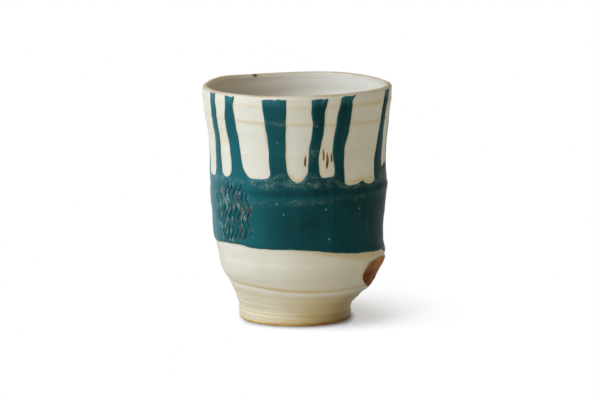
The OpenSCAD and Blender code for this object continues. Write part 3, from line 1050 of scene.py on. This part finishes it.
# iron streaks that ran a little down the cream, and one fleck inside the lip
ironMarks = {
    # turn, height of the middle, length, width
    "streaks": [(4.9, 72.6, 5.0, 1.3), (16.6, 75.0, 5.0, 1.2), (19.2, 72.4, 7.0, 1.5),
                (22.0, 73.6, 4.2, 1.2), (154, 72.5, 6, 1.4), (177, 76.6, 4, 1.3), (202, 71.6, 3, 1.2)],
    "thick": 0.16, "leastThick": 0.02, "sunk": 0.1, "step": 0.16, "spare": 0.6, "thinEdge": 0.16,
    "sway": 0.12, "swayStep": 0.9, "middle": 0.78, "belly": 0.22, "trim": 0.02,
}
fleck = {
    "turn": -150.8, "over": 135, "length": 2.5, "width": 1.6, "radius": 38,
    "edge": 0.12, "edgeWaves": (5, 3), "halfAround": 1.4, "halfOver": 1.1, "columns": 24, "rows": 20,
    "lift": 0.05, "thick": 0.12, "sunk": 0.1, "thinEdge": 0.2,
}


def ironStreak(number, degrees, height, length, width):
    # one streak, fuller below: its closed mesh and how thin it is at each point
    iron = ironMarks
    around = float(smoothCurve(thrownForm["profile"], np.array(height)))
    turns = math.radians(degrees) + np.arange(-width, width, iron["step"]) / around
    reach = length / 2 + iron["spare"]
    heights = np.arange(height - reach, height + reach, iron["step"])

    def field(turn, z):
        along = (z - height) / (length / 2)
        across = wrapped(turn - math.radians(degrees)) * around
        across = across + iron["sway"] * np.sin(z * iron["swayStep"] + number)
        swell = width / 2 * np.sqrt(np.clip(1 - along ** 2, 0, 1))
        swell = swell * (iron["middle"] - iron["belly"] * along)
        return np.minimum(swell - iron["trim"] - np.abs(across), (1 - np.abs(along)) * length / 2)

    turn, z, faces = coverMesh(turns, heights, field(*np.meshgrid(turns, heights)), False)
    inside = np.maximum(field(turn, z), 0)
    skin = skinRadius(turn, z)
    lift = iron["thick"] * np.sqrt(np.clip(inside / (width / 2), iron["leastThick"], 1))
    points, faces = closeCoat(faces, place(turn, z, skin + lift), place(turn, z, skin - iron["sunk"]))
    return points, faces, np.tile(bell(inside, iron["thinEdge"]), 2)


def ironFleck():
    middle, over = math.radians(fleck["turn"]), math.radians(fleck["over"])
    around, across = fleck["halfAround"], fleck["halfOver"]
    turns = middle + np.linspace(-around, around, fleck["columns"]) / fleck["radius"]
    angles = over + np.linspace(-across, across, fleck["rows"]) / lipRound

    def field(turn, angle):
        a = wrapped(turn - middle) * fleck["radius"] / (fleck["length"] / 2)
        b = (angle - over) * lipRound / (fleck["width"] / 2)
        perA, perB = fleck["edgeWaves"]
        return 1 - np.hypot(a, b) + fleck["edge"] * np.sin(perA * a + perB * b)

    turn, angle, faces = coverMesh(turns, angles, field(*np.meshgrid(turns, angles)), False)
    inside = np.maximum(field(turn, angle), 0)
    top = lipPoint(turn, angle, fleck["lift"] + fleck["thick"] * np.sqrt(inside))
    points, faces = closeCoat(faces, top, lipPoint(turn, angle, -fleck["sunk"]))
    return points, faces, np.tile(bell(inside, fleck["thinEdge"]), 2)


def buildIron():
    marks = [ironStreak(number, *row) for number, row in enumerate(ironMarks["streaks"])] + [ironFleck()]
    allFaces = []
    count = 0
    for points, faces, _ in marks:
        allFaces += [[v + count for v in f] for f in faces]
        count += len(points)
    allPoints, thin = (np.concatenate([mark[i] for mark in marks]) for i in (0, 2))
    piece = makePiece("ironStreaks", allPoints, allFaces, {"thin": thin}, fired("ironOxide", ironLook))
    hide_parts("iron_marks")
    return piece


pieces = [buildClay(), buildFoot(), buildLiner(), buildCream(), buildLip(), buildTeal(), buildIron()]
for piece in pieces:
    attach(piece, "root")
    triangles = sum(len(p.vertices) - 2 for p in piece.data.polygons)
    print("made", piece.name, len(piece.data.vertices), "points,", triangles, "triangles")


# floor, light and camera, in metres
studio = {
    "floorSize": 24.0, "paperLeft": (0.48, 0.49, 0.51), "paperRight": (0.48, 0.51, 0.59),
    "paperSides": (-0.02, 0.04), "floorGlow": 0.63,
    "bounce": (0.80, 0.74, 0.62), "bounceShadow": (0.05, 0.04, 0.03),
    "shadowRight": (0.005, 0.04), "shadowNear": (0.08, 0.035),
    "fade": (0.028, 0.074), "shadowDepth": 0.8,
    "contact": 0.008, "contactFrom": 0.42, "reach": 0.025, "reachFrom": 0.3, "reachLeast": 0.66,
    "contactSides": (0.0205, 0.027), "sideLift": 0.36,      # the dark contact is narrow at the sides
    "openSamples": 8, "bareLeft": (-0.020, -0.028),         # at the left the floor is soon white again
    "shadeSides": (-0.25, 0.15), "shade": 0.5,
    "leftAir": (0.52, 0.50, 0.43), "rightAir": (0.685, 0.60, 0.425), "airSides": (-0.8, 0.8),
    "lowAir": 0.4, "lowUpTo": 0.28, "topAir": 0.1, "topFrom": 0.3,
    "keyPlace": (-0.80, -0.45, 1.00), "keyAim": (0, 0, 0.05), "keySize": 1.1, "keyPower": 20.4,
    "keyColour": (0.95, 1.0, 1.13),
}


def openness(tree, distance):
    settings = {"samples": studio["openSamples"]}
    return addNode(tree, "ShaderNodeAmbientOcclusion", settings, {"Distance": distance}).outputs["AO"]


def shaderNode(tree, kind, inputs):
    return addNode(tree, "ShaderNode" + kind, None, inputs).outputs[0]


def buildFloor():
    size = studio["floorSize"] / 2
    mesh = bpy.data.meshes.new("studioFloor")
    corners = [(-size, -size, 0), (size, -size, 0), (size, size, 0), (-size, size, 0)]
    mesh.from_pydata(corners, [], [(0, 1, 2, 3)])
    floor = bpy.data.objects.new("studioFloor", mesh)
    scene.collection.objects.link(floor)
    material = bpy.data.materials.new("studioFloor")
    material.use_nodes = True
    tree = material.node_tree
    tree.nodes.clear()
    point = addNode(tree, "ShaderNodeTexCoord").outputs["Object"]
    x = addNode(tree, "ShaderNodeSeparateXYZ", None, {0: point}).outputs["X"]
    rays = addNode(tree, "ShaderNodeLightPath").outputs
    seen = plus(tree, rays["Is Camera Ray"], rays["Is Glossy Ray"])
    seen = plus(tree, seen, rays["Is Transmission Ray"])

    # far from the shadow the floor is white, which fades the cast shadow out with distance and at the left
    oval = vectorNode(tree, "MULTIPLY", point, (1, studio["shadowDepth"], 1))[0]
    far = remap(tree, vectorNode(tree, "LENGTH", oval)["Value"], *studio["fade"])
    far = plus(tree, far, remap(tree, x, *studio["bareLeft"]))
    # painted shade: what the cup reflects of the floor is dimmer on the right
    shade = remap(tree, x, *studio["shadeSides"], (1.0, studio["shade"]))
    brightest = mathNode(tree, "MAXIMUM", rays["Is Camera Ray"], shade)
    white = shaderNode(tree, "Emission", {"Strength": brightest})

    # near the foot it is paper with the lamps' shadow, bluer on the right, and a glow that occlusion dims
    # into a painted contact shadow, narrow at the sides
    right = remap(tree, x, *studio["paperSides"])
    paper = tint(tree, right, studio["paperLeft"], studio["paperRight"])
    paper = shaderNode(tree, "BsdfDiffuse", {"Color": paper})
    aside = mathNode(tree, "ABSOLUTE", x)
    lifted = remap(tree, aside, *studio["contactSides"], (0.0, studio["sideLift"]))
    bared = plus(tree, openness(tree, studio["contact"]), lifted)
    glow = remap(tree, bared, studio["contactFrom"], 1.0, (0.0, studio["floorGlow"]))
    wider = openness(tree, studio["reach"])
    glow = times(tree, glow, remap(tree, wider, studio["reachFrom"], 1.0, (studio["reachLeast"], 1.0)))
    near = shaderNode(tree, "AddShader", {0: paper, 1: shaderNode(tree, "Emission", {"Strength": glow})})

    # what the floor throws back on the cup, with a painted shadow near the cup on the right
    away = vectorNode(tree, "LENGTH", point)["Value"]
    shaded = times(tree, remap(tree, x, *studio["shadowRight"]), remap(tree, away, *studio["shadowNear"]))
    bounced = tint(tree, shaded, studio["bounce"], studio["bounceShadow"])
    bounce = shaderNode(tree, "BsdfDiffuse", {"Color": bounced})

    shown = shaderNode(tree, "MixShader", {0: far, 1: near, 2: white})
    both = shaderNode(tree, "MixShader", {0: seen, 1: bounce, 2: shown})
    end = addNode(tree, "ShaderNodeOutputMaterial")
    tree.links.new(both, end.inputs["Surface"])
    mesh.materials.append(material)


def aimed(data, stand, aim):
    body = bpy.data.objects.new(data.name, data)
    body.location = stand
    body.rotation_euler = (Vector(aim) - body.location).to_track_quat("-Z", "Y").to_euler()
    scene.collection.objects.link(body)
    return body


def buildLight():
    world = bpy.data.worlds.new("studioAir")
    world.use_nodes = True
    tree = world.node_tree
    point = addNode(tree, "ShaderNodeTexCoord").outputs["Generated"]
    way = addNode(tree, "ShaderNodeSeparateXYZ", None, {0: point}).outputs
    air = tint(tree, remap(tree, way["X"], *studio["airSides"]), studio["leftAir"], studio["rightAir"])
    level = times(tree, remap(tree, way["Z"], 0.0, studio["lowUpTo"], (studio["lowAir"], 1.0)),
                  remap(tree, way["Z"], studio["topFrom"], 1.0, (1.0, studio["topAir"])))
    tree.links.new(air, tree.nodes["Background"].inputs["Color"])
    tree.links.new(level, tree.nodes["Background"].inputs["Strength"])
    scene.world = world
    key = bpy.data.lights.new("windowLight", "AREA")
    key.shape = "SQUARE"
    key.size = studio["keySize"]
    key.energy = studio["keyPower"]
    key.color = studio["keyColour"]
    aimed(key, studio["keyPlace"], studio["keyAim"])


camera = {"place": (0.00127, -1.552, 0.315), "aim": (0.00127, 0.0, 0.050), "lens": 223.2, "sensor": 36.0}


def buildCamera():
    lens = bpy.data.cameras.new("photoCamera")
    lens.lens = camera["lens"]
    lens.sensor_width = camera["sensor"]
    lens.sensor_fit = "HORIZONTAL"
    scene.camera = aimed(lens, camera["place"], camera["aim"])


buildFloor()
buildLight()
buildCamera()
scene.view_settings.view_transform = "Standard"
print("studio ready")
